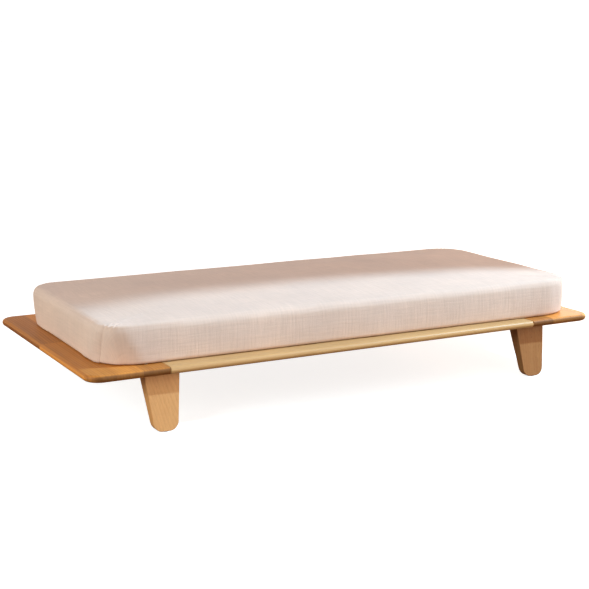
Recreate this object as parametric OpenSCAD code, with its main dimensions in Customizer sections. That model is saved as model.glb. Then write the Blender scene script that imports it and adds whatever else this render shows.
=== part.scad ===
// Low platform bed frame for a single 90 x 200 cm mattress.
// Two end panels and two side rails make a flush deck on four splayed board legs.
// Origin: on the floor under the middle of the deck. +X runs from head to foot,
// +Y to the back long side, +Z up. Millimetres.

/* [Deck] */
// Length of the deck, over both end panels
deck_l = 2110; // [2060:5:2300]
// Width of the deck over the end panels
deck_w = 1060; // [1040:5:1200]
// Height of the deck's top face above the floor
deck_h = 226; // [180:1:400]
// Thickness of the end panels and side rails
board_t = 26; // [22:1:32]
// Radius of the deck's four corners, seen from above
corner_r = 58; // [40:1:90]
// Width of an end panel along the bed
panel_w = 289; // [240:1:330]

/* [Rails] */
// Width of a side rail
rail_w = 101; // [90:1:120]
// How far a rail stands proud of the end panels' edges
rail_proud = 1; // [0.5:0.5:3]
// Shadow gap between a rail's end and the end panel
joint_gap = 1.5; // [0.5:0.5:3]

/* [Legs] */
// Distance of a leg's centre from the middle of the bed, along the bed
leg_x = 780; // [740:1:800]
// Width of a leg at its top
leg_top_w = 130; // [110:1:150]
// Width of a leg at its foot
leg_foot_w = 86; // [76:1:100]
// Radius of the two lower corners of a leg
leg_corner_r = 33; // [10:1:36]
// Thickness of a leg at its top
leg_top_t = 54; // [50:1:66]
// Thickness of a leg at its foot
leg_foot_t = 30; // [26:1:44]
// Set-back of a leg's outer face from the deck's edge at the top
leg_top_inset = 44; // [36:1:50]
// Set-back of a leg's outer face from the deck's edge at the foot
leg_foot_inset = 10; // [2:1:30]
// Thickness of the felt pad under a leg
pad_t = 2; // [1:0.5:4]
// Radius of the felt pad
pad_r = 11; // [8:1:14]

/* [Slats] */
// Number of slats
slat_n = 13; // [9:1:15]
// Width of a slat
slat_w = 70; // [50:1:80]
// Thickness of a slat
slat_t = 20; // [16:1:22]
// Drop of the slats' top faces below the deck's top face
slat_drop = 1.5; // [1.3:0.1:3]
// Width of the webbing tape that spaces the slats
tape_w = 25; // [15:1:40]
// Thickness of the webbing tape
tape_t = 1; // [0.8:0.1:1.2]

/* [Mattress] */
// Length of the mattress in its sheet
mattress_l = 2000; // [1900:5:2040]
// Width of the mattress in its sheet
mattress_w = 900; // [800:5:920]
// Height of the mattress's sides
mattress_h = 148; // [100:1:200]
// Rise of the mattress's middle above its edge
crown_h = 12; // [5:1:30]
// Radius of the mattress's corners, seen from above
mattress_corner_r = 150; // [60:1:180]
// Distance that the mattress lies off centre towards the foot
mattress_shift_x = 24; // [0:1:28]
// Distance that the mattress lies off centre towards the front
mattress_shift_y = 21; // [0:1:40]
// Angle that the mattress lies turned from the bed's length
mattress_turn = -0.7; // [-1:0.1:1]
// Thickness of the fitted sheet
sheet_t = 1.5; // [1:0.1:3]
// Width of the sheet's turn-under below the mattress
sheet_tuck = 95; // [60:5:150]

/* [Hidden] */
$fn = 48;
SIDES = [["front", -1], ["back", 1]];
ENDS = [["head", -1], ["foot", 1]];
MEMBERS = ["panel", "stretcher"];
SLATS = [for (i = [1:slat_n]) str("slat_", i < 10 ? "0" : "", i)];
LEGS = [for (e = ENDS, s = SIDES) str(e[0], "_", s[0], "_leg")];

EPS = 0.5;
ARC_STEPS = 16;
BORE_PLAY = 0.1;

deck_z = deck_h - board_t;
edge_r = board_t / 2;
panel_inner_x = deck_l / 2 - panel_w;
rail_end_x = panel_inner_x - joint_gap;
rail_outer_y = deck_w / 2 + rail_proud;
rail_inner_y = rail_outer_y - rail_w;

leg_y_top = deck_w / 2 - leg_top_inset;
leg_y_foot = deck_w / 2 - leg_foot_inset;
leg_h = deck_z - pad_t;
pad_y = leg_y_foot - leg_foot_t / 2;

slat_top_z = deck_h - slat_drop;
slat_z = slat_top_z - slat_t;
slat_y = rail_inner_y - 4;
cleat_t = 20;
cleat_w = 60;
cleat_x = leg_x - leg_top_w / 2 - 4;
cleat_y = rail_inner_y - cleat_w / 2;
cleat_z = slat_z - cleat_t;
slat_end_x = cleat_x - 5 - slat_w / 2;
slat_pitch = 2 * slat_end_x / (slat_n - 1);
tape_y = slat_y - 90;
tape_sink = tape_t - 0.2;

stretcher_w = 80;
stretcher_t = 26;
stretcher_x = panel_inner_x + 3 + stretcher_w / 2;
stretcher_y = leg_y_top - leg_top_t - 4;

dowel_r = 5;
dowel_l = 40;
dowel_hole_l = 42;
dowel_y = [rail_inner_y + 30, rail_inner_y + 75];
dowel_z = deck_z + board_t / 2;

bolt_r = 3;
bolt_head_r = 6;
bolt_head_h = 3.5;
bolt_l = 50;
bolt_spread = 42;
bolt_y = leg_y_top - 38;
insert_r = 5;
insert_l = 20;
insert_z = deck_z - insert_l - 2;

screw_r = 2;
screw_head_r = 4;
screw_head_h = 2.6;
cleat_screw_l = 38;
cleat_screw_y = rail_inner_y + 13;
cleat_screw_n = 9;
cleat_screw_pitch = 170;
stretcher_screw_l = 42;
stretcher_screw_n = 5;
stretcher_screw_pitch = 190;
slat_screw_l = 34;
slat_screw_y = slat_y - 13;
slat_screw_x = 20;

mattress_z = deck_h + 0.3;
mattress_top_r = 42;
mattress_foot_r = 15;
crown_inset = [330, 280];
crown_r = 60;

maple = "burlywood";
cherry = "peru";
steel = "silver";

// Points on an arc about c, from angle a0 to a1
function arc(c, r, a0, a1) =
    [for (i = [0:ARC_STEPS])
        let (a = a0 + (a1 - a0) * i / ARC_STEPS)
        [c[0] + r * cos(a), c[1] + r * sin(a)]];

// Places children at both long sides: the back copy is turned, so fronts stay outside
module on_side(s) {
    turn = s < 0 ? 0 : 180;
    rotate([0, 0, turn]) children();
}

// A board's cross-section: square at 0, half-round at depth
module edge_profile(depth) {
    polygon(concat(
        [[0, 0]],
        arc([depth - edge_r, edge_r], edge_r, -90, 90),
        [[0, board_t]]
    ));
}

// A board's cross-section run along +X for a length, its round edge towards -Y
module edge_strip(depth, length) {
    rotate([90, 0, 90])
        linear_extrude(length)
            mirror([1, 0]) edge_profile(depth);
}

// A countersunk wood screw, head at the origin, pointing up
module screw(length, play = 0) {
    difference() {
        union() {
            cylinder(h = length, r = screw_r + play, $fn = 24);
            cylinder(h = screw_head_h, r1 = screw_head_r + play, r2 = screw_r + play, $fn = 24);
        }
        if (play == 0)
            translate([0, 0, -EPS]) cylinder(h = 1.6 + EPS, r = 1.5, $fn = 6);
    }
}

// A countersunk bolt with a hex socket, head at the origin, pointing down
module leg_bolt(play = 0) {
    difference() {
        union() {
            translate([0, 0, -bolt_l]) cylinder(h = bolt_l, r = bolt_r + play, $fn = 24);
            translate([0, 0, -bolt_head_h])
                cylinder(h = bolt_head_h, r1 = bolt_r + play, r2 = bolt_head_r + play, $fn = 32);
        }
        if (play == 0)
            translate([0, 0, -2]) cylinder(h = 2 + EPS, r = 2.3, $fn = 6);
    }
}

// The places of every group of fasteners
module at_leg_bolts() {
    for (e = [-1, 1], s = [-1, 1], x = [-1, 1])
        translate([e * leg_x + x * bolt_spread, s * bolt_y, 0]) children();
}

module at_rail_dowels() {
    for (e = [-1, 1], s = [-1, 1], y = dowel_y)
        translate([e * (panel_inner_x - joint_gap / 2), s * y, dowel_z])
            rotate([0, 90, 0]) children();
}

module at_cleat_screws() {
    for (s = [-1, 1], i = [0:cleat_screw_n - 1])
        translate([(i - (cleat_screw_n - 1) / 2) * cleat_screw_pitch, s * cleat_screw_y, cleat_z])
            children();
}

module at_stretcher_screws() {
    for (e = [-1, 1], i = [0:stretcher_screw_n - 1])
        translate([
            e * stretcher_x,
            (i - (stretcher_screw_n - 1) / 2) * stretcher_screw_pitch,
            deck_z - stretcher_t
        ])
            children();
}

module at_slat_screws() {
    for (e = [-1, 1], s = [-1, 1], x = [-1, 1])
        translate([e * slat_end_x + x * slat_screw_x, s * slat_screw_y, slat_top_z])
            rotate([180, 0, 0]) children();
}

module dowel_holes() {
    at_rail_dowels() cylinder(h = dowel_hole_l, r = dowel_r + BORE_PLAY, center = true);
}

module bolt_holes() {
    at_leg_bolts() translate([0, 0, deck_h]) leg_bolt(play = BORE_PLAY);
    // Keeps each countersink open at the deck's top face
    at_leg_bolts() translate([0, 0, deck_h - 0.3]) cylinder(h = 1, r = bolt_head_r + BORE_PLAY);
}

// End panel: three half-round edges and a square one against the rails
module end_panel(e) {
    straight = panel_w - corner_r;
    inner_y = deck_w / 2 - corner_r;
    difference() {
        rotate([0, 0, e < 0 ? 180 : 0])
            translate([panel_inner_x, 0, deck_z])
                union() {
                    translate([0, -inner_y, 0]) cube([straight, 2 * inner_y, board_t]);
                    for (s = [0, 1])
                        mirror([0, s, 0]) translate([0, -inner_y, 0]) edge_strip(corner_r, straight);
                    translate([straight, -inner_y, 0])
                        rotate([0, 0, 90]) edge_strip(corner_r, 2 * inner_y);
                    for (s = [-1, 1])
                        translate([straight, s * inner_y, 0])
                            rotate([0, 0, s < 0 ? -90 : 0])
                                rotate_extrude(angle = 90, $fn = 96) edge_profile(corner_r);
                }
        dowel_holes();
        bolt_holes();
        at_stretcher_screws() screw(stretcher_screw_l, play = BORE_PLAY);
    }
}

module head_panel() {
    color(cherry) end_panel(-1);
}

module foot_panel() {
    color(cherry) end_panel(1);
}

// Cross member under an end panel, between the tops of a pair of legs
module stretcher(e) {
    difference() {
        translate([e * stretcher_x - stretcher_w / 2, -stretcher_y, deck_z - stretcher_t])
            cube([stretcher_w, 2 * stretcher_y, stretcher_t]);
        at_stretcher_screws() screw(stretcher_screw_l, play = BORE_PLAY);
        at_stretcher_screws() translate([0, 0, -1]) cylinder(h = 1, r = screw_head_r + BORE_PLAY);
    }
}

module head_stretcher() {
    color(maple) stretcher(-1);
}

module foot_stretcher() {
    color(maple) stretcher(1);
}

// Side rail: half-round outside, with a stopped rebate below for the cleat
module rail(s) {
    difference() {
        on_side(s)
            translate([-rail_end_x, -rail_inner_y, deck_z]) edge_strip(rail_w, 2 * rail_end_x);
        translate([0, s * cleat_y, (cleat_z + slat_z) / 2])
            cube([2 * cleat_x + 2, 2 * cleat_w + 1, cleat_t], center = true);
        dowel_holes();
        bolt_holes();
        at_cleat_screws() screw(cleat_screw_l, play = BORE_PLAY);
    }
}

module front_rail() {
    color(maple) rail(-1);
}

module back_rail() {
    color(maple) rail(1);
}

// Cleat that carries the slats' ends, let into the rail
module cleat(s) {
    difference() {
        translate([0, s * rail_inner_y, cleat_z + cleat_t / 2])
            cube([2 * cleat_x, cleat_w, cleat_t], center = true);
        at_cleat_screws() screw(cleat_screw_l, play = BORE_PLAY);
        at_cleat_screws() translate([0, 0, -1]) cylinder(h = 1, r = screw_head_r + BORE_PLAY);
        at_slat_screws() screw(slat_screw_l, play = BORE_PLAY);
    }
}

module front_cleat() {
    color(maple) cleat(-1);
}

module back_cleat() {
    color(maple) cleat(1);
}

// A leg's outline from the front: tapered, with two round lower corners
module leg_front_outline() {
    taper = (leg_top_w - leg_foot_w) / 2 / leg_h;
    lean = atan(taper);
    corner_x = leg_foot_w / 2 + taper * leg_corner_r - leg_corner_r / cos(lean);
    right = arc([corner_x, leg_corner_r], leg_corner_r, -90, -lean);
    left = [for (i = [ARC_STEPS:-1:0]) [-right[i][0], right[i][1]]];
    polygon(concat(right, [[leg_top_w / 2, leg_h], [-leg_top_w / 2, leg_h]], left));
}

// A leg's outline from the side: thick at the top, thin and splayed at the foot
module leg_side_outline() {
    polygon([
        [-leg_y_foot, 0],
        [-leg_y_foot + leg_foot_t, 0],
        [-leg_y_top + leg_top_t, leg_h],
        [-leg_y_top, leg_h]
    ]);
}

module leg(e, s) {
    difference() {
        translate([e * leg_x, 0, pad_t])
            on_side(s)
                intersection() {
                    translate([0, -leg_y_top + leg_top_t + EPS, 0])
                        rotate([90, 0, 0])
                            linear_extrude(leg_y_foot - leg_y_top + leg_top_t + 2 * EPS)
                                leg_front_outline();
                    rotate([90, 0, 90])
                        linear_extrude(leg_top_w + 2, center = true) leg_side_outline();
                }
        at_leg_bolts() translate([0, 0, deck_h]) leg_bolt(play = BORE_PLAY);
        at_leg_bolts() translate([0, 0, insert_z]) cylinder(h = insert_l + 2 + EPS, r = insert_r + BORE_PLAY);
    }
}

module any_leg(i) {
    color(maple) leg(i < 2 ? -1 : 1, i % 2 == 0 ? -1 : 1);
}

// One slat with eased long edges, numbered from the head
module slat(i) {
    ease = 3;
    x = -slat_end_x + (i - 1) * slat_pitch;
    color(maple)
        difference() {
            translate([x, slat_y, slat_z])
                rotate([90, 0, 0])
                    linear_extrude(2 * slat_y)
                        polygon([
                            [-slat_w / 2 + ease, 0],
                            [slat_w / 2 - ease, 0],
                            [slat_w / 2, ease],
                            [slat_w / 2, slat_t - ease],
                            [slat_w / 2 - ease, slat_t],
                            [-slat_w / 2 + ease, slat_t],
                            [-slat_w / 2, slat_t - ease],
                            [-slat_w / 2, ease]
                        ]);
            if (i == 1 || i == slat_n)
                at_slat_screws() {
                    screw(slat_screw_l, play = BORE_PLAY);
                    translate([0, 0, -1]) cylinder(h = 1, r = screw_head_r + BORE_PLAY);
                }
            // Shallow housings that hold the webbing tapes flush
            for (s = [-1, 1])
                translate([x, s * tape_y, slat_top_z])
                    cube([slat_w + 1, tape_w + 0.4, 2 * tape_sink], center = true);
        }
}

// Webbing tape that lies over the slats and keeps their spacing
module slat_tape(s) {
    color("ivory")
        translate([0, s * tape_y, slat_top_z - tape_sink + tape_t / 2])
            cube([2 * slat_end_x + slat_w - 10, tape_w, tape_t], center = true);
}

module front_slat_tape() {
    slat_tape(-1);
}

module back_slat_tape() {
    slat_tape(1);
}

module rail_dowels() {
    color("wheat")
        at_rail_dowels()
            cylinder(h = dowel_l, r = dowel_r, center = true);
}

module leg_bolts() {
    color(steel)
        at_leg_bolts() translate([0, 0, deck_h]) leg_bolt();
}

// Threaded sleeves in the leg tops
module leg_inserts() {
    color("goldenrod")
        at_leg_bolts()
            translate([0, 0, insert_z])
                difference() {
                    cylinder(h = insert_l, r = insert_r);
                    translate([0, 0, -EPS]) cylinder(h = insert_l + 2 * EPS, r = bolt_r + BORE_PLAY);
                }
}

module cleat_screws() {
    color(steel) at_cleat_screws() screw(cleat_screw_l);
}

module stretcher_screws() {
    color(steel) at_stretcher_screws() screw(stretcher_screw_l);
}

module slat_screws() {
    color(steel) at_slat_screws() screw(slat_screw_l);
}

module leg_pads() {
    color("dimgray")
        for (e = [-1, 1], s = [-1, 1])
            translate([e * leg_x, s * pad_y, 0]) cylinder(h = pad_t, r = pad_r);
}

// Places children, made about the mattress's own middle, where it lies on the deck
module on_deck() {
    translate([mattress_shift_x, -mattress_shift_y, mattress_z])
        rotate([0, 0, mattress_turn]) children();
}

// Solid form of the mattress, shrunk by inset on every side
module mattress_form(inset) {
    corner = mattress_corner_r - inset;
    h = mattress_h - 2 * inset;
    foot_r = mattress_foot_r - inset;
    top_r = mattress_top_r - inset;
    translate([0, 0, inset])
        hull() {
            for (x = [-1, 1], y = [-1, 1])
                translate([
                    x * (mattress_l / 2 - mattress_corner_r),
                    y * (mattress_w / 2 - mattress_corner_r),
                    0
                ])
                    rotate_extrude($fn = 32)
                        polygon(concat(
                            [[0, 0]],
                            [for (a = [-90:30:0]) [corner - foot_r + foot_r * cos(a), foot_r + foot_r * sin(a)]],
                            [for (a = [0:15:90]) [corner - top_r + top_r * cos(a), h - top_r + top_r * sin(a)]],
                            [[0, h]]
                        ));
            for (x = [-1, 1], y = [-1, 1])
                translate([
                    x * (mattress_l / 2 - crown_inset[0]),
                    y * (mattress_w / 2 - crown_inset[1]),
                    h + crown_h - 1
                ])
                    cylinder(h = 1, r = crown_r, $fn = 32);
        }
}

module mattress_core() {
    color("white") on_deck() mattress_form(sheet_t);
}

// Thin skin over the mattress, open below inside its turn-under
module fitted_sheet() {
    color("mistyrose")
        on_deck()
            difference() {
                mattress_form(0);
                mattress_form(sheet_t);
                cube([mattress_l - 2 * sheet_tuck, mattress_w - 2 * sheet_tuck, 4 * sheet_t], center = true);
            }
}

head_panel();
foot_panel();
head_stretcher();
foot_stretcher();
front_rail();
back_rail();
front_cleat();
back_cleat();
for (i = [0:len(LEGS) - 1])
    any_leg(i);
for (i = [1:slat_n])
    slat(i);
front_slat_tape();
back_slat_tape();
rail_dowels();
leg_bolts();
leg_inserts();
cleat_screws();
stretcher_screws();
slat_screws();
leg_pads();
mattress_core();
fitted_sheet();
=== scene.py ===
import math

import bmesh
import bpy
from mathutils import Matrix, Vector, noise


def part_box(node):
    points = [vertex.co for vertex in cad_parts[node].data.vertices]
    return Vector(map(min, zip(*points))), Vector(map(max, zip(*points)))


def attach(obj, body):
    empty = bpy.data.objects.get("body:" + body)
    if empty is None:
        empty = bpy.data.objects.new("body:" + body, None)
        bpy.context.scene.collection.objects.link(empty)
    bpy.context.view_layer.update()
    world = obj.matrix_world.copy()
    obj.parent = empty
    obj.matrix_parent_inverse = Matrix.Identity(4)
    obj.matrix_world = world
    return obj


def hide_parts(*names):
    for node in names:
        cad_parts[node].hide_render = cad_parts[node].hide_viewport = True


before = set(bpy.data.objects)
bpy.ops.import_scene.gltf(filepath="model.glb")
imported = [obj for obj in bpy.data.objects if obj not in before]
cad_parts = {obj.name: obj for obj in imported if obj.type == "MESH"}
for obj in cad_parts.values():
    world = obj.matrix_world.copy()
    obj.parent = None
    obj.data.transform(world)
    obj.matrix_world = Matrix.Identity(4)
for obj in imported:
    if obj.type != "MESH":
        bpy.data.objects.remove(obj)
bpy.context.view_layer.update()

# The bed's own sizes, in metres
DECK_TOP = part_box("head_panel")[1].z
RAIL_END_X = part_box("front_rail")[1].x
PANEL_INNER_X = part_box("foot_panel")[0].x
STAVE_W = 2 * PANEL_INNER_X / 16
SLAT_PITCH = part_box("slat_02")[0].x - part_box("slat_01")[0].x

# The mattress, whose corners are rounder at the hem than at the top.
# A corner is (end, side), where -1 is the head or the front.
MATTRESS_L = 2.0
MATTRESS_W = 0.9
MATTRESS_H = 0.148
CROWN_H = 0.012
CORNER_R = 0.09
LOW_CORNER_R = {"head": 0.16, "foot": 0.158}
TOP_CORNER_R = {(-1, -1): 0.1, (-1, 1): 0.115, (1, -1): 0.148, (1, 1): 0.155}
TOP_R = 0.034
FOOT_R = 0.012

# The fitted sheet
CLOTH_T = 0.0012
CELL = 0.02
TUCK_W = 0.095
TUCK_ROWS = 5
SHEET_GAP = 0.002
SHEET_TOP = MATTRESS_H - 0.003

# Each corner seam's two ends: how far in from the mattress's end, how far in from its side, and the height
SEAM_TOP = (0.0195, 0.0407, 0.14)
SEAM_FOOT = (0.018, 0.0864, 0.012)
SEAM_LAP = 0.003
GATHER_PITCH = 0.014
FLAT_HALF = math.radians(18)
CRISP_EDGE = {(-1, -1): 0.55, (-1, 1): 0.1, (1, -1): 0.25, (1, 1): 0.15}

# The mattress lies a little towards the foot and the front, and slightly turned
LAID_AT = Matrix.Translation((0.024, -0.021, DECK_TOP + 0.0003))
ON_DECK = LAID_AT @ Matrix.Rotation(math.radians(-0.7), 4, "Z")


# ---------- shader maths ----------

class Value:
    """A number in a shader. Arithmetic on it adds Math nodes."""

    def __init__(self, finish, socket):
        self.finish = finish
        self.socket = socket

    def math(self, operation, *others):
        return self.finish.node("ShaderNodeMath", {"operation": operation}, [self, *others])

    def __add__(self, other):
        return self.math("ADD", other)

    __radd__ = __add__

    def __mul__(self, other):
        return self.math("MULTIPLY", other)

    __rmul__ = __mul__

    def __sub__(self, other):
        return self.math("SUBTRACT", other)

    def __rsub__(self, other):
        return self * -1.0 + other

    def __truediv__(self, other):
        return self.math("DIVIDE", other)

    def __pow__(self, other):
        return self.math("POWER", other)

    def floor(self):
        return self.math("FLOOR")

    def fract(self):
        return self.math("FRACT")

    def sqrt(self):
        return self.math("SQRT")

    def size(self):
        return self.math("ABSOLUTE")

    def cosine(self):
        return self.math("COSINE")

    def clamp(self):
        return self.finish.node("ShaderNodeClamp", {}, [self, 0.0, 1.0])

    def step(self, low, high):
        """0 below low, 1 above high, and a smooth rise between them."""
        settings = {"interpolation_type": "SMOOTHSTEP"}
        inputs = {"Value": self, "From Min": low, "From Max": high}
        return self.finish.node("ShaderNodeMapRange", settings, inputs)


class Finish:
    """One material, built node by node."""

    def __init__(self, name):
        self.material = bpy.data.materials.new(name)
        self.material.use_nodes = True
        self.tree = self.material.node_tree
        self.surface = self.tree.nodes["Principled BSDF"]

    def node(self, kind, settings, inputs, output=0):
        made = self.tree.nodes.new(kind)
        for key, value in settings.items():
            setattr(made, key, value)
        pairs = inputs.items() if isinstance(inputs, dict) else enumerate(inputs)
        for key, value in pairs:
            self.feed(made.inputs[key], value)
        return Value(self, made.outputs[output])

    def feed(self, socket, value):
        if isinstance(value, Value):
            self.tree.links.new(value.socket, socket)
        else:
            socket.default_value = value

    def place(self):
        """Object coordinates as three numbers."""
        point = self.node("ShaderNodeTexCoord", {}, {}, "Object")
        return self.split(point)

    def split(self, vector):
        return [self.node("ShaderNodeSeparateXYZ", {}, [vector], i) for i in range(3)]

    def vector(self, x, y, z):
        return self.node("ShaderNodeCombineXYZ", {}, [x, y, z])

    def noise(self, point, scale=1.0, detail=2.0, roughness=0.5):
        inputs = {"Vector": point, "Scale": scale, "Detail": detail, "Roughness": roughness}
        return self.node("ShaderNodeTexNoise", {}, inputs)

    def mix(self, share, first, second):
        """A colour between two colours."""
        settings = {"data_type": "RGBA"}
        return self.node("ShaderNodeMix", settings, {0: share, 6: first, 7: second}, 2)

    def tint(self, colour, amount):
        """A colour made lighter or darker by an amount round 1."""
        grey = self.vector(amount, amount, amount)
        return self.node("ShaderNodeVectorMath", {"operation": "MULTIPLY"}, [colour, grey])

    def bump(self, height, depth):
        inputs = {"Height": height, "Distance": depth, "Strength": 1.0}
        return self.node("ShaderNodeBump", {}, inputs)

    def set(self, **sockets):
        for key, value in sockets.items():
            self.feed(self.surface.inputs[key.replace("_", " ").title()], value)
        return self.material


def colour(red, green, blue):
    """A finish colour from its everyday 0 to 255 value, as the linear one that a shader takes."""
    linear = [((c / 255 + 0.055) / 1.055) ** 2.4 if c > 10 else c / 3294.6 for c in (red, green, blue)]
    return (*linear, 1.0)


# ---------- finishes ----------

def wood(name, along, pale, dark, cells, rings, figure, end_dark, rough, flecks=0.0, vary=0.16, pick=0.0):
    """Solid timber: growth rings about a far pith, fibres and pores along the grain, and boards that differ.

    cells holds the offset and width of the boards along x, then along y. pick chooses which boards are pale.
    """
    f = Finish(name)
    x, y, z = f.place()
    length, across, deep = {"x": (x, y, z), "y": (y, x, z), "z": (z, x, y)}[along]
    board = ((x + cells[0]) / cells[1]).floor() * 3.7 + ((y + cells[2]) / cells[3]).floor() * 5.3
    chance = f.node("ShaderNodeTexWhiteNoise", {"noise_dimensions": "1D"}, {"W": board + pick})
    other = f.node("ShaderNodeTexWhiteNoise", {"noise_dimensions": "1D"}, {"W": board + 31.7})
    wander = f.noise(f.vector(length * 1.3, across * 5 + board, deep * 5), 1.0, 2.0)
    from_pith = (across + chance * 0.3 - 0.02) ** 2 + (deep - other * 0.25 - 0.1) ** 2
    growth = (from_pith.sqrt() + wander * 0.035) / rings
    ring = growth.fract()
    late = ring.step(0.35, 0.95) * (1 - ring.step(0.97, 1.0))
    strength = f.noise(f.vector(growth.floor() * 3.1, 0.0, 0.0), 1.0, 0.0)
    fibre = f.noise(f.vector(length * 4, across * 260, deep * 260), 1.0, 3.0, 0.6)
    streak = f.noise(f.vector(length * 1.7, across * 45 + board, deep * 45), 1.0, 3.0, 0.55)
    cloud = f.noise(f.vector(length * 2.2, across * 7 + board, deep * 7), 1.0, 2.0)
    pores = f.noise(f.vector(length * 40, across * 900, deep * 900), 1.0, 1.0).step(0.66, 0.78)
    share = late * strength * 0.55 * figure + (streak - 0.5) * 0.9 * figure + 0.22
    share = share - (chance - 0.5) * vary * 1.2
    base = f.mix((share + pores * 0.2).clamp(), pale, dark)
    shade = (fibre - 0.5) * 0.22 + (cloud - 0.5) * 0.36 * figure + (chance - 0.5) * vary + 1.0
    if flecks:
        ray = f.noise(f.vector(length * 55, across * 420, deep * 420), 1.0, 0.0).step(0.68, 0.76)
        shade = shade - ray * flecks
    facing = f.split(f.node("ShaderNodeTexCoord", {}, {}, "Normal"))["xyz".index(along)]
    end = facing.size().step(0.45, 0.95)
    end_rings = late * 0.25 + 0.75
    shade = shade * (1 - end * (1 - end_rings * end_dark))
    f.surface.inputs["Specular IOR Level"].default_value = 0.25
    relief = fibre * 0.5 + late * 0.2 - pores * 0.6
    return f.set(
        base_color=f.tint(base, shade),
        roughness=(fibre - 0.5) * 0.15 + end * 0.15 + rough,
        normal=f.bump(relief, 0.0002),
    )


def metal(name, tone, rough, brushed):
    f = Finish(name)
    x, y, z = f.place()
    marks = f.noise(f.vector(x * 30, y * 30, z * brushed), 8.0, 3.0)
    spots = f.noise(f.vector(x, y, z), 160.0, 2.0)
    base = f.tint(tone[:3], (spots - 0.5) * 0.25 + 1.0)
    f.surface.inputs["Metallic"].default_value = 1.0
    return f.set(base_color=base, roughness=(marks - 0.5) * 0.25 + rough, normal=f.bump(marks, 0.00005))


def woven(name, pale, dark, pitch, depth, ribs=0.0):
    """A plain weave of threads, on the piece's own coordinates."""
    f = Finish(name)
    x, y, z = f.place()
    turn = 2 * math.pi / pitch
    threads = (x * turn).cosine() * (y * turn).cosine() * (z * turn).cosine() * 0.5 + 0.5
    fuzz = f.noise(f.vector(x, y, z), 900.0, 2.0)
    worn = f.noise(f.vector(x, y, z), 12.0, 3.0)
    height = threads * 0.6 + fuzz * 0.4
    if ribs:
        height = height + (x * 2 * math.pi / ribs).cosine() * 0.4
    base = f.tint(f.mix(height.clamp(), dark, pale), (worn - 0.5) * 0.16 + 1.0)
    f.surface.inputs["Sheen Weight"].default_value = 0.2
    return f.set(base_color=base, roughness=(fuzz - 0.5) * 0.1 + 0.88, normal=f.bump(height, depth))


def pressed_felt():
    f = Finish("felt")
    x, y, z = f.place()
    hair = f.noise(f.vector(x, y, z), 1200.0, 4.0, 0.7)
    clump = f.noise(f.vector(x, y, z), 150.0, 3.0)
    base = f.mix((hair * 0.6 + clump * 0.4).clamp(), colour(48, 46, 44), colour(96, 92, 88))
    return f.set(base_color=base, roughness=hair * 0.1 + 0.88, normal=f.bump(hair, 0.0004))


def double_gauze():
    """Two soft layers caught together in small squares and crinkled, with a painted contact shadow in dark
    brown low on the sides, where the sheet meets the deck.
    """
    f = Finish("gauze")
    flat = f.node("ShaderNodeUVMap", {"uv_map": "cloth"}, {})
    u, v, _ = f.split(flat)
    drift = f.noise(f.vector(u * 3, v * 3, 0.0), 1.0, 2.0)
    folds = f.noise(f.vector(u * 105 + drift * 4, v * 9, 0.0), 1.0, 3.0, 0.6)
    weft_folds = f.noise(f.vector(u * 9, v * 105 + drift * 4, 7.0), 1.0, 3.0, 0.6)
    patches = f.noise(f.vector(u * 4, v * 4, 3.0), 1.0, 2.0)
    other = f.noise(f.vector(u * 4, v * 4, 8.0), 1.0, 2.0)
    turn = 2 * math.pi / 0.0135
    squares = ((u * turn + drift * 6).cosine() * 0.5 + 0.5) ** 5.0
    squares = squares + ((v * turn + drift * 6).cosine() * 0.5 + 0.5) ** 5.0
    thread = 2 * math.pi / 0.0011
    weave = (u * thread).cosine() * (v * thread).cosine()
    height = folds * (patches + 0.2) + weft_folds * (other * 0.9 + 0.1) - squares * 0.06 + weave * 0.02
    # The cloth is painted a little darker where the folds sink and a little lighter on their crests: painted
    # shade and highlight in the crinkles. The patches add a real, random change of tone.
    tone = (height - 0.7) * 0.3 + (patches - 0.5) * 0.07 + 1.0
    # Painted contact shadow: the lowest centimetre of the sides, just above the deck, is coloured dark brown
    # to stand in for the shade under the mattress's edge. Faces that point straight up or down are left out.
    above = f.place()[2].step(DECK_TOP - 0.002, DECK_TOP + 0.01)
    facing = f.split(f.node("ShaderNodeTexCoord", {}, {}, "Normal"))[2]
    painted_contact_shadow = (1 - above) * (1 - facing.size().step(0.5, 0.9)) * 0.6
    cloth = f.tint(f.mix(patches, colour(212, 187, 175), colour(214, 186, 170)), tone)
    base = f.mix(painted_contact_shadow, cloth, colour(96, 56, 40))
    f.surface.inputs["Sheen Weight"].default_value = 0.1
    f.surface.inputs["Sheen Roughness"].default_value = 0.6
    return f.set(base_color=base, roughness=(weave * 0.03) + 0.92, normal=f.bump(height, 0.0012))


FAR = 50.0
TIMBER = {
    "cherry": wood("cherry", "y", colour(198, 128, 58), colour(134, 72, 30),
                   (PANEL_INNER_X, STAVE_W, 0, FAR), 0.011, 0.95, 0.5, 0.5, 0.0, 0.4, 2.74),
    "maple": wood("maple", "x", colour(206, 163, 112), colour(174, 124, 75),
                  (FAR, 2 * FAR, 0, 1.0), 0.007, 0.55, 0.8, 0.42, 0.1),
    # The legs' large spread of tone and their pick are set so that the leg at the foot and front comes out
    # darker than the others: painted shade for the lesser light that falls on it. Some spread between boards
    # is real.
    "leg_maple": wood("leg_maple", "z", colour(200, 146, 94), colour(164, 100, 52),
                      (0, 1.0, 0, 1.0), 0.007, 0.6, 0.8, 0.42, 0.12, 0.5, 116.5),
    "pine": wood("pine", "y", colour(226, 192, 140), colour(188, 138, 84),
                 (SLAT_PITCH / 2, SLAT_PITCH, 0, FAR), 0.008, 1.0, 0.8, 0.6),
    "pine_long": wood("pine_long", "x", colour(226, 192, 140), colour(188, 138, 84),
                      (FAR, 2 * FAR, 0, 1.0), 0.008, 1.0, 0.8, 0.6),
    "beech": wood("beech", "x", colour(216, 176, 134), colour(186, 140, 98),
                  (0, 1.0, 0, 0.05), 0.004, 0.6, 0.85, 0.6, 0.15),
}
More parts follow.
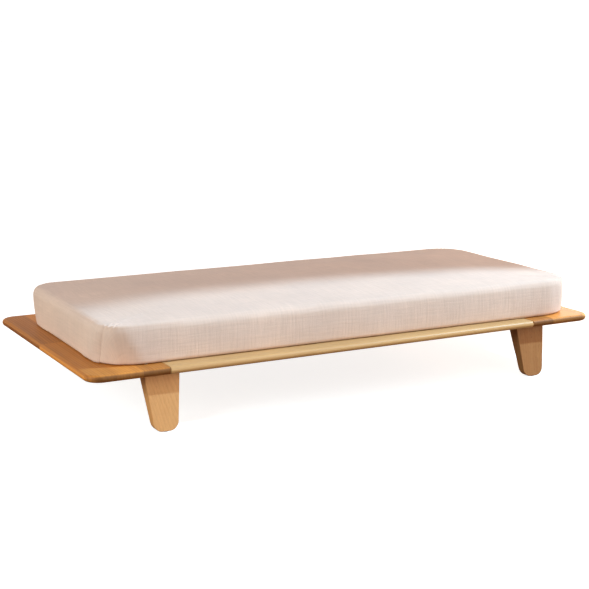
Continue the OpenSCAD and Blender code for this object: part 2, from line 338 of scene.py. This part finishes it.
OTHER = {
    "zinc_steel": metal("zinc_steel", colour(200, 200, 198), 0.32, 400),
    "brass": metal("brass", colour(205, 168, 96), 0.3, 400),
    "felt": pressed_felt(),
    "webbing": woven("webbing", colour(236, 228, 208), colour(196, 184, 160), 0.0016, 0.0003),
    "ticking": woven("ticking", colour(240, 236, 228), colour(214, 208, 198), 0.0024, 0.0005, 0.012),
    "gauze": double_gauze(),
}
FINISHES = {**TIMBER, **OTHER}


# ---------- pieces of wood and metal ----------

def finish_piece(obj, finish, body):
    obj.data.materials.clear()
    obj.data.materials.append(FINISHES[finish])
    if body:
        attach(obj, body)
    return obj


def new_piece(name, bm):
    mesh = bpy.data.meshes.new(name)
    bm.to_mesh(mesh)
    bm.free()
    obj = bpy.data.objects.new(name, mesh)
    bpy.context.scene.collection.objects.link(obj)
    return obj


def outer_arrises(bm, reach=0.002):
    """The sharp outside edges of a board, without the small edges of its screw and dowel holes."""
    bm.normal_update()
    sharp = [e for e in bm.edges if e.is_manifold and e.is_convex]
    return [e for e in sharp if e.calc_face_angle() > math.radians(40) and e.calc_length() > reach]


def ease(bm, edges, width, segments):
    bmesh.ops.bevel(bm, geom=edges, offset=width, segments=segments, profile=0.5, affect="EDGES",
                    material=-1, clamp_overlap=True, offset_type="OFFSET")


def smooth_by_angle(obj, degrees):
    for face in obj.data.polygons:
        face.use_smooth = True
    obj.data.set_sharp_from_angle(angle=math.radians(degrees))
    weigh = obj.modifiers.new("even_shading", "WEIGHTED_NORMAL")
    weigh.keep_sharp = True


def board(node, finish, slot, easing, end_easing=0.0):
    """A copy of a wooden part with its arrises eased by hand."""
    bm = bmesh.new()
    bm.from_mesh(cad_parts[node].data)
    bmesh.ops.remove_doubles(bm, verts=bm.verts, dist=0.00002)
    bmesh.ops.dissolve_limit(bm, angle_limit=math.radians(0.4), verts=bm.verts, edges=bm.edges)
    if end_easing:
        ends = [e for e in outer_arrises(bm) if min(abs(v.co.x) for v in e.verts) > RAIL_END_X - 0.0001]
        ease(bm, ends, end_easing, 6)
    if easing:
        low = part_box(node)[0].x
        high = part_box(node)[1].x
        arrises = outer_arrises(bm)
        if end_easing:
            inside = (low + end_easing * 2, high - end_easing * 2)
            arrises = [e for e in arrises if min(v.co.x for v in e.verts) < inside[0]
                       and max(v.co.x for v in e.verts) > inside[1]]
        ease(bm, arrises, easing, 3)
    obj = new_piece(node + "_shown", bm)
    smooth_by_angle(obj, 32)
    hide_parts(node)
    return finish_piece(obj, finish, "frame")


def visible_boards():
    for end in ("head", "foot"):
        board(end + "_panel", "cherry", "cherry", 0.0012)
        board(end + "_stretcher", "pine", "pine", 0.002)
        for side in ("front", "back"):
            board(f"{end}_{side}_leg", "leg_maple", "maple", 0.0022)
    for side in ("front", "back"):
        board(side + "_rail", "maple", "maple", 0.0012, 0.0045)
        board(side + "_cleat", "pine_long", "pine", 0.002)


def plain_nodes():
    """Slats, tapes and hardware keep their own shape and get their finish."""
    groups = {
        "pine": [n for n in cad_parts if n.startswith("slat_") and n[5:].isdigit()],
        "webbing": ["front_slat_tape", "back_slat_tape"],
        "beech": ["rail_dowels"],
        "zinc_steel": ["leg_bolts", "cleat_screws", "stretcher_screws", "slat_screws"],
        "brass": ["leg_inserts"],
        "felt": ["leg_pads"],
    }
    for finish, nodes in groups.items():
        for node in nodes:
            finish_piece(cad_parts[node], finish, None)


# ---------- the mattress and its fitted sheet ----------

def to_round(part, other):
    """Where a point of a square's quarter goes when the square is drawn into a disc."""
    return part * math.sqrt(1 - other * other / 2)


def plan_point(x, y, half_l, half_w, corner):
    """Moves a point of a rectangle so that the rectangle's corners become round."""
    p = (abs(x) - half_l + corner) / corner
    q = (abs(y) - half_w + corner) / corner
    if p <= 0 or q <= 0:
        return x, y
    new_x = half_l - corner + corner * to_round(p, q)
    new_y = half_w - corner + corner * to_round(q, p)
    return math.copysign(new_x, x), math.copysign(new_y, y)


def soft_step(value):
    """0 below 0, 1 above 1, and a smooth rise between them."""
    t = min(1.0, max(0.0, value))
    return t * t * (3 - 2 * t)


def corner_of(co):
    return (-1 if co.x < 0 else 1, -1 if co.y < 0 else 1)


def corner_radius(co):
    """Rounder towards the hem, where the elastic pulls, and least at the top near the head."""
    ends = corner_of(co)
    low = LOW_CORNER_R["head" if ends[0] < 0 else "foot"]
    return low + (TOP_CORNER_R[ends] - low) * soft_step(co.z / (MATTRESS_H - 0.01))


def tighter_outline(angle, radius):
    """How far out the tighter CORNER_R outline is, seen from the middle of a rounder corner."""
    apart = radius - CORNER_R
    if math.tan(angle) < apart / radius:
        return radius / math.cos(angle)
    if math.tan(angle) > radius / apart:
        return radius / math.sin(angle)
    both = apart * (math.cos(angle) + math.sin(angle))
    return both + math.sqrt(max(0.0, both * both - 2 * apart * apart + CORNER_R * CORNER_R))


def rounder_corners(bm):
    """Draws the corners in to the radius that they have at each height."""
    for v in bm.verts:
        radius = corner_radius(v.co)
        p = abs(v.co.x) - (MATTRESS_L / 2 - radius)
        q = abs(v.co.y) - (MATTRESS_W / 2 - radius)
        if p <= 0 or q <= 0:
            continue
        angle = math.atan2(q, p)
        reach = math.hypot(p, q) * radius / tighter_outline(angle, radius)
        v.co.x = math.copysign(MATTRESS_L / 2 - radius + reach * math.cos(angle), v.co.x)
        v.co.y = math.copysign(MATTRESS_W / 2 - radius + reach * math.sin(angle), v.co.y)


def outward(x, y, half_l, half_w, corner):
    """The direction straight out from a point on the rounded rectangle's rim."""
    p = max(0.0, abs(x) - half_l + corner)
    q = max(0.0, abs(y) - half_w + corner)
    way = Vector((math.copysign(p, x), math.copysign(q, y), 0))
    return way.normalized()


def crown(x, y, rise):
    """The soft rise of the top towards its middle."""
    from_end = (MATTRESS_L / 2 - abs(x)) / 0.33
    from_side = (MATTRESS_W / 2 - abs(y)) / 0.27
    return rise * soft_step(from_end) * soft_step(from_side)


def side_profile(top, foot, inset, tuck):
    """Steps outward and up for the rows of cloth from the top's rim, round the side and under."""
    rows = []
    for k in range(1, 7):
        a = math.radians(90 - 15 * k)
        rows.append((TOP_R * math.cos(a), top - TOP_R + TOP_R * math.sin(a)))
    low = foot + FOOT_R
    high = top - TOP_R
    for k in range(1, 6):
        t = k / 6
        rows.append((TOP_R + 0.002 * math.sin(math.pi * t), high + (low - high) * t))
    for k in range(0, 4):
        a = math.radians(-30 * k)
        rows.append((TOP_R - FOOT_R + FOOT_R * math.cos(a), low + FOOT_R * math.sin(a)))
    for k in range(1, tuck + 1):
        rows.append((TOP_R - FOOT_R - k * TUCK_W / TUCK_ROWS, foot))
    return [(out - inset, up) for out, up in rows]


def top_grid(bm, flat, top, rise):
    """The mattress's top up to where its edge turns over, with round corners."""
    half_l = MATTRESS_L / 2 - TOP_R
    half_w = MATTRESS_W / 2 - TOP_R
    cells = (round(2 * half_l / CELL), round(2 * half_w / CELL))
    bmesh.ops.create_grid(bm, x_segments=cells[0], y_segments=cells[1], size=1.0)
    for v in bm.verts:
        x, y = plan_point(v.co.x * half_l, v.co.y * half_w, half_l, half_w, CORNER_R - TOP_R)
        v.co = (x, y, top + crown(x, y, rise))
        v[flat] = (x, y, 0)
    bm.normal_update()
    if sum(f.normal.z for f in bm.faces) < 0:
        bmesh.ops.reverse_faces(bm, faces=bm.faces)


def rim_starts(rim, flat):
    """Each rim point's place in plan, the way out from it, and its place on the flat cloth."""
    half_l = MATTRESS_L / 2 - TOP_R
    half_w = MATTRESS_W / 2 - TOP_R
    starts = {}
    for v in {v for e in rim for v in e.verts}:
        way = outward(v.co.x, v.co.y, half_l, half_w, CORNER_R - TOP_R)
        starts[v] = (Vector((v.co.x, v.co.y, 0)), way, v[flat].copy())
    return starts


def next_row(bm, flat, rim, starts, row, spent):
    """Adds one row of quads below the rim, and gives the new rim and its starts."""
    made = bmesh.ops.extrude_edge_only(bm, edges=rim)["geom"]
    below = {}
    for v in [g for g in made if isinstance(g, bmesh.types.BMVert)]:
        above = next(e.other_vert(v) for e in v.link_edges if e.other_vert(v) in starts)
        base, way, start = starts[above]
        v.co = base + way * row[0] + Vector((0, 0, row[1]))
        v[flat] = start + way * spent + Vector((0, 0, spent))
        below[v] = starts[above]
    return [g for g in made if isinstance(g, bmesh.types.BMEdge) and g.is_boundary], below


def wrapped_form(inset, top, foot, rise, tuck):
    """A grid for the top, and rows of quads drawn from its rim down the sides and under.

    The layer called flat holds where a point lies on the flat cloth, and its distance down from the rim.
    """
    bm = bmesh.new()
    flat = bm.verts.layers.float_vector.new("flat")
    top_grid(bm, flat, top, rise)
    rim = [e for e in bm.edges if e.is_boundary]
    starts = rim_starts(rim, flat)
    spent = 0.0
    last = (0.0 - inset, top)
    for row in side_profile(top, foot, inset, tuck):
        spent += math.dist(row, last)
        last = row
        rim, starts = next_row(bm, flat, rim, starts, row, spent)
    rounder_corners(bm)
    return bm, rim


def settle(obj, pinned_below, pressure, frames, cap):
    """Lets the cloth swell against its own tension. The foam holds it out, and no point goes far."""
    start = [v.co.copy() for v in obj.data.vertices]
    pins = obj.vertex_groups.new(name="held")
    for i, co in enumerate(start):
        held = min(1.0, max(0.0, (pinned_below - co.z) / 0.012))
        pins.add([i], held, "REPLACE")
    cloth = obj.modifiers.new("settle", "CLOTH")
    s = cloth.settings
    s.quality = 8
    s.mass = 0.15
    s.tension_stiffness = 12
    s.compression_stiffness = 12
    s.shear_stiffness = 6
    s.bending_stiffness = 0.3
    s.tension_damping = 8
    s.compression_damping = 8
    s.air_damping = 2
    s.use_pressure = True
    s.uniform_pressure_force = pressure
    s.vertex_group_mass = "held"
    s.effector_weights.gravity = 0
    cloth.collision_settings.use_collision = False
    cloth.point_cache.frame_start = 1
    cloth.point_cache.frame_end = frames
    for step in range(1, frames + 1):
        bpy.context.scene.frame_set(step)
    held = obj.evaluated_get(bpy.context.evaluated_depsgraph_get())
    moved = [v.co.copy() for v in held.data.vertices]
    obj.modifiers.remove(cloth)
    obj.vertex_groups.clear()
    normals = [v.normal.copy() for v in obj.data.vertices]
    for v, first, now, normal in zip(obj.data.vertices, start, moved, normals):
        shift = now - first
        pressed = shift.dot(normal) + 0.0005
        if pressed < 0:
            shift -= normal * pressed
        if shift.length > cap:
            shift *= cap / shift.length
        v.co = first + shift
    bpy.context.scene.frame_set(1)


def subdivided(obj):
    """The piece with one round of subdivision made part of its mesh."""
    smooth = obj.modifiers.new("soften", "SUBSURF")
    smooth.levels = 1
    smooth.render_levels = 1
    done = bpy.data.meshes.new_from_object(obj.evaluated_get(bpy.context.evaluated_depsgraph_get()))
    obj.modifiers.remove(smooth)
    obj.data = done


def bell(distance, reach):
    return math.exp(-(distance / reach) ** 2)


def seam_point(ends, inset):
    return Vector((ends[0] * (MATTRESS_L / 2 - inset[0]), ends[1] * (MATTRESS_W / 2 - inset[1]), inset[2]))


def seam_plane(ends):
    """The upright plane that a corner seam lies in: a point, and the direction towards the long side."""
    foot = seam_point(ends, SEAM_FOOT)
    out = Vector((ends[0] * 0.85, ends[1] * 0.53, 0))
    across = (seam_point(ends, SEAM_TOP) - foot).cross(out).normalized()
    if across.y * ends[1] < 0:
        across.negate()
    return foot, across


def in_corner(co):
    return abs(co.x) > MATTRESS_L / 2 - 0.3 and abs(co.y) > MATTRESS_W / 2 - 0.3


def tightness(co):
    """How hard the cloth is pulled round a point's corner: 1 at the corner that is drawn tightest."""
    return min(1.0, CRISP_EDGE[corner_of(co)] * 2)


def seam_distance(co):
    """How far a point near a corner is from its seam, positive on the long side."""
    if not in_corner(co):
        return None
    foot, across = seam_plane(corner_of(co))
    return (co - foot).dot(across)


def cut_corner(bm, ends, at, across, low, high):
    """Cuts the faces of one corner, between two heights, along a plane."""
    faces = []
    for face in bm.faces:
        middle = face.calc_center_median()
        near_seam = (middle - seam_point(ends, SEAM_TOP)).length < 0.2
        if corner_of(middle) == ends and low < middle.z < high and near_seam:
            faces.append(face)
    near = {e for f in faces for e in f.edges} | {v for f in faces for v in f.verts}
    bmesh.ops.bisect_plane(bm, geom=faces + list(near), dist=0.00005, plane_co=at, plane_no=across)


def cut_seams(obj):
    """Puts rows of vertices along the corner seams, so that each one can be crisp."""
    bm = bmesh.new()
    bm.from_mesh(obj.data)
    for ends in CRISP_EDGE:
        foot, across = seam_plane(ends)
        for offset in (-0.004, 0.0, SEAM_LAP):
            cut_corner(bm, ends, foot + across * offset, across, 0.0, 0.137)
        gather_rows = 14 if ends[1] < 0 else 0
        for row in range(1, gather_rows + 1):
            offset = SEAM_LAP + GATHER_PITCH / 4 * row
            cut_corner(bm, ends, foot + across * offset, across, 0.095, 0.2)
    bm.to_mesh(obj.data)
    bm.free()


def seam_angle(co, radius):
    """Where round the corner the seam is, at the height of a point."""
    t = (co.z - SEAM_FOOT[2]) / (SEAM_TOP[2] - SEAM_FOOT[2])
    p = radius - SEAM_FOOT[0] - (SEAM_TOP[0] - SEAM_FOOT[0]) * t
    q = radius - SEAM_FOOT[1] - (SEAM_TOP[1] - SEAM_FOOT[1]) * t
    return math.atan2(q, p)


def flatter_by_seam(co, depth):
    """Draws the cloth flat on both sides of the seam, so that the corner turns sharply at the seam."""
    radius = corner_radius(co)
    p = abs(co.x) - (MATTRESS_L / 2 - radius)
    q = abs(co.y) - (MATTRESS_W / 2 - radius)
    if p <= 0 or q <= 0:
        return
    angle = math.atan2(q, p)
    seam = seam_angle(co, radius)
    if angle < seam:
        inward = math.cos(seam / 2) / math.cos(angle - seam / 2)
    elif angle < seam + 2 * FLAT_HALF:
        inward = math.cos(FLAT_HALF) / math.cos(angle - seam - FLAT_HALF)
    else:
        return
    change = (inward - 1.0) * depth * tightness(co)
    co.x += math.copysign(p * change, co.x)
    co.y += math.copysign(q * change, co.y)


def top_edge_turn(spent):
    """How far the cloth has turned over the top edge: 0 on the top and 1 on the side."""
    return min(1.0, max(0.0, spent / (TOP_R * math.pi / 2)))


def crisp_edge(co, turn, along):
    """The top edge's extra height where it is pulled into a fold beside the corner seam."""
    reach = 0.17 if along > 0 else 0.035
    angle = turn * math.pi / 2
    square = TOP_R * (1 / max(math.cos(angle), math.sin(angle)) - 1)
    return CRISP_EDGE[corner_of(co)] * square * bell(along, reach)


def seam_step(along):
    """The long side's cloth is sewn on a little lower than the end's."""
    if along < 0.00005:
        return 0.0014 * math.exp(along / 0.03)
    return (0.0014 - 0.0026 * min(1.0, along / 0.0025)) * math.exp(-along / 0.05)


def fold_height(co, flat):
    """How far the crinkled, gathered cloth stands off its smooth form at a point."""
    u, v = flat.x, flat.y
    across_bed = noise.noise(Vector((u * 48, v * 9, 1.3)))
    along_bed = noise.noise(Vector((u * 11, v * 40, 5.1)))
    crinkle = across_bed * 0.7 + along_bed * 0.35
    loose = noise.noise(Vector((u * 5, v * 5, 9.7)))
    out = 0.0007 * crinkle * (1.0 + loose) + 0.0016 * loose
    along = seam_distance(co)
    if along is None:
        return out
    turn = top_edge_turn(flat.z)
    out += crisp_edge(co, turn, along)
    gathers = math.cos(2 * math.pi * along / GATHER_PITCH + 0.6) * bell(along - 0.02, 0.024)
    out += 0.0042 * gathers * bell(turn - 0.3, 0.3) * tightness(co)
    out += seam_step(along) * (turn if flat.z > 0 else 0.0)
    near_foot = bell(co.z - 0.006, 0.016)
    ripple = noise.noise(Vector((along * 22 + u * 3, 3.3 + v, 0.4)))
    end_face = 1.0 if along < 0 else 0.55
    return out + 0.0042 * ripple * near_foot * end_face


def crinkle_cloth(obj):
    """Lifts the small folds, gathers and ripples out of the settled cloth."""
    mesh = obj.data
    flats = [Vector(d.vector) for d in mesh.attributes["flat"].data]
    normals = [v.normal.copy() for v in mesh.vertices]
    for v, flat, normal in zip(mesh.vertices, flats, normals):
        under = v.co.z < 0.004 and normal.z < -0.5
        if not under:
            height = fold_height(v.co, flat)
            flatter_by_seam(v.co, top_edge_turn(flat.z))
            v.co += normal * height
        v.co.z = max(v.co.z, CLOTH_T)


def crease_seams(obj):
    """Keeps the corner seams crisp, from the hem up to the top edge."""
    mesh = obj.data
    on_seam = []
    for v in mesh.vertices:
        along = seam_distance(v.co)
        on_seam.append(along is not None and abs(along) < 0.0006 and 0.002 < v.co.z < MATTRESS_H - 0.008)
    for edge in mesh.edges:
        edge.use_edge_sharp = on_seam[edge.vertices[0]] and on_seam[edge.vertices[1]]


def cloth_map(obj):
    """Lays the flat cloth out in metres, for its weave and crinkles."""
    mesh = obj.data
    layer = mesh.uv_layers.new(name="cloth")
    flats = mesh.attributes["flat"].data
    for loop in mesh.loops:
        x, y, _ = flats[loop.vertex_index].vector
        layer.data[loop.index].uv = (x, y)


def fitted_sheet():
    bm, _ = wrapped_form(SHEET_GAP, SHEET_TOP, 0.0009, CROWN_H, TUCK_ROWS)
    obj = new_piece("fitted_sheet_shown", bm)
    settle(obj, 0.03, 4.0, 20, 0.006)
    subdivided(obj)
    cut_seams(obj)
    crease_seams(obj)
    crinkle_cloth(obj)
    cloth_map(obj)
    obj.data.transform(ON_DECK)
    for face in obj.data.polygons:
        face.use_smooth = True
    thick = obj.modifiers.new("thickness", "SOLIDIFY")
    thick.thickness = CLOTH_T
    thick.offset = -1
    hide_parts("fitted_sheet")
    return finish_piece(obj, "gauze", "mattress")


def hem():
    """The elastic band that draws the sheet in under the mattress."""
    bm, rim = wrapped_form(SHEET_GAP, SHEET_TOP, 0.0012, CROWN_H, TUCK_ROWS)
    band = set()
    for e in rim:
        band.update(e.link_faces)
    others = [f for f in bm.faces if f not in band]
    bmesh.ops.delete(bm, geom=others, context="FACES")
    for v in bm.verts:
        v.co.z = 0.0012 + 0.0006 * math.sin(v.co.x * 260) * math.cos(v.co.y * 260)
    obj = new_piece("sheet_hem", bm)
    cloth_map(obj)
    obj.data.transform(ON_DECK)
    for face in obj.data.polygons:
        face.use_smooth = True
    thick = obj.modifiers.new("thickness", "SOLIDIFY")
    thick.thickness = 0.0018
    thick.offset = 0
    return finish_piece(obj, "gauze", "mattress")


def mattress():
    """The foam mattress in its knitted cover, closed below."""
    bm, rim = wrapped_form(0.0065, MATTRESS_H - 0.008, 0.004, CROWN_H, 2)
    bmesh.ops.holes_fill(bm, edges=rim, sides=0)
    obj = new_piece("mattress_shown", bm)
    obj.data.transform(ON_DECK)
    for face in obj.data.polygons:
        face.use_smooth = len(face.vertices) == 4
    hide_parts("mattress_core")
    return finish_piece(obj, "ticking", "mattress")


# ---------- studio ----------

def studio_floor():
    bm = bmesh.new()
    bmesh.ops.create_grid(bm, x_segments=1, y_segments=1, size=300.0)
    obj = new_piece("studio_floor", bm)
    f = Finish("studio_floor")
    x, y, z = f.place()
    speck = f.noise(f.vector(x, y, z), 40.0, 3.0)
    base = f.mix(speck, (0.62, 0.625, 0.63, 1), (0.64, 0.645, 0.65, 1))
    f.surface.inputs["Emission Strength"].default_value = 1.22
    roughness = (speck - 0.5) * 0.1 + 0.9
    obj.data.materials.append(f.set(base_color=base, roughness=roughness, emission_color=base))
    obj.visible_diffuse = False
    obj.visible_glossy = False


def studio_world():
    """Soft light all round: a bright low band, a dimmer ceiling, and little from below."""
    world = bpy.data.worlds.new("studio")
    bpy.context.scene.world = world
    world.use_nodes = True
    tree = world.node_tree
    coord = tree.nodes.new("ShaderNodeTexCoord")
    split = tree.nodes.new("ShaderNodeSeparateXYZ")
    height = tree.nodes.new("ShaderNodeMapRange")
    height.inputs["From Min"].default_value = -1.0
    tones = tree.nodes.new("ShaderNodeValToRGB")
    tree.links.new(coord.outputs["Generated"], split.inputs[0])
    tree.links.new(split.outputs[2], height.inputs["Value"])
    tree.links.new(height.outputs[0], tones.inputs[0])
    tree.links.new(tones.outputs[0], tree.nodes["Background"].inputs["Color"])
    low, high = tones.color_ramp.elements
    low.position = 0.44
    low.color = (0.097, 0.062, 0.045, 1)
    high.position = 1.0
    high.color = (0.252, 0.23, 0.23, 1)
    stops = (
        (0.493, (0.194, 0.134, 0.11, 1)),
        (0.4975, (0.95, 0.95, 0.95, 1)),
        (0.52, (0.95, 0.95, 0.95, 1)),
        (0.55, (0.582, 0.514, 0.485, 1)),
        (0.72, (0.543, 0.48, 0.455, 1)),
    )
    for place, tone in stops:
        tones.color_ramp.elements.new(place).color = tone
    toward = tree.nodes.new("ShaderNodeVectorMath")
    toward.operation = "DOT_PRODUCT"
    toward.inputs[1].default_value = (0.75, -0.65, 0.0)
    side = tree.nodes.new("ShaderNodeMapRange")
    side.inputs["From Min"].default_value = -1.0
    side.inputs["To Min"].default_value = 0.65 * 1.4
    side.inputs["To Max"].default_value = 1.35 * 1.4
    tree.links.new(coord.outputs["Generated"], toward.inputs[0])
    tree.links.new(toward.outputs["Value"], side.inputs["Value"])
    tree.links.new(side.outputs[0], tree.nodes["Background"].inputs["Strength"])


def lamp(name, kind, at, aim, power, tone, **settings):
    data = bpy.data.lights.new(name, kind)
    data.energy = power
    data.color = tone
    for key, value in settings.items():
        setattr(data, key, value)
    obj = bpy.data.objects.new(name, data)
    bpy.context.scene.collection.objects.link(obj)
    obj.location = at
    obj.rotation_euler = (Vector(aim) - Vector(at)).to_track_quat("-Z", "Y").to_euler()
    return obj


def studio_lights():
    lamp("key", "SPOT", (5.02, -2.45, 5.06), (0.788, -2.336, 0.38), 3090, (0.5, 0.79, 1.0),
         spot_size=math.radians(37.8), spot_blend=0.08, shadow_soft_size=0.1)
    lamp("end_soft", "AREA", (4.2, 1.0, 0.95), (1.0, -0.3, 0.25), 88, (1.0, 0.66, 0.4),
         shape="RECTANGLE", size=1.4, size_y=1.2)
    lamp("head_soft", "AREA", (-4.2, -1.9, 2.0), (-0.9, -0.3, 0.3), 75, (0.7, 0.95, 1.0),
         shape="RECTANGLE", size=1.6, size_y=1.2)
    lamp("head_low", "AREA", (-4.2, 0.4, 0.9), (-1.0, -0.1, 0.3), 40, (0.98, 0.84, 0.58),
         shape="RECTANGLE", size=1.2, size_y=1.0)
    lamp("front_low", "AREA", (1.2, -4.5, 0.7), (0.3, -0.4, 0.25), 31, (1.0, 0.9, 0.56),
         shape="RECTANGLE", size=2.0, size_y=0.8)
    sheen = lamp("sheen", "AREA", (3.5, 2.75, 1.03), (1.0, -0.3, 0.23), 30, (1.0, 0.98, 0.95),
                 shape="RECTANGLE", size=1.6, size_y=0.8)
    sheen.visible_diffuse = False


def camera():
    data = bpy.data.cameras.new("camera")
    obj = bpy.data.objects.new("camera", data)
    bpy.context.scene.collection.objects.link(obj)
    data.sensor_width = 36
    data.lens = 79.26
    obj.location = (-2.3925, -4.4438, 1.3133)
    obj.rotation_euler = (math.pi / 2 - 0.1961, 0, -0.4919)
    bpy.context.scene.camera = obj
    bpy.context.scene.view_settings.view_transform = "Standard"


visible_boards()
plain_nodes()
core = mattress()
sheet = fitted_sheet()
band = hem()
studio_floor()
studio_world()
studio_lights()
camera()
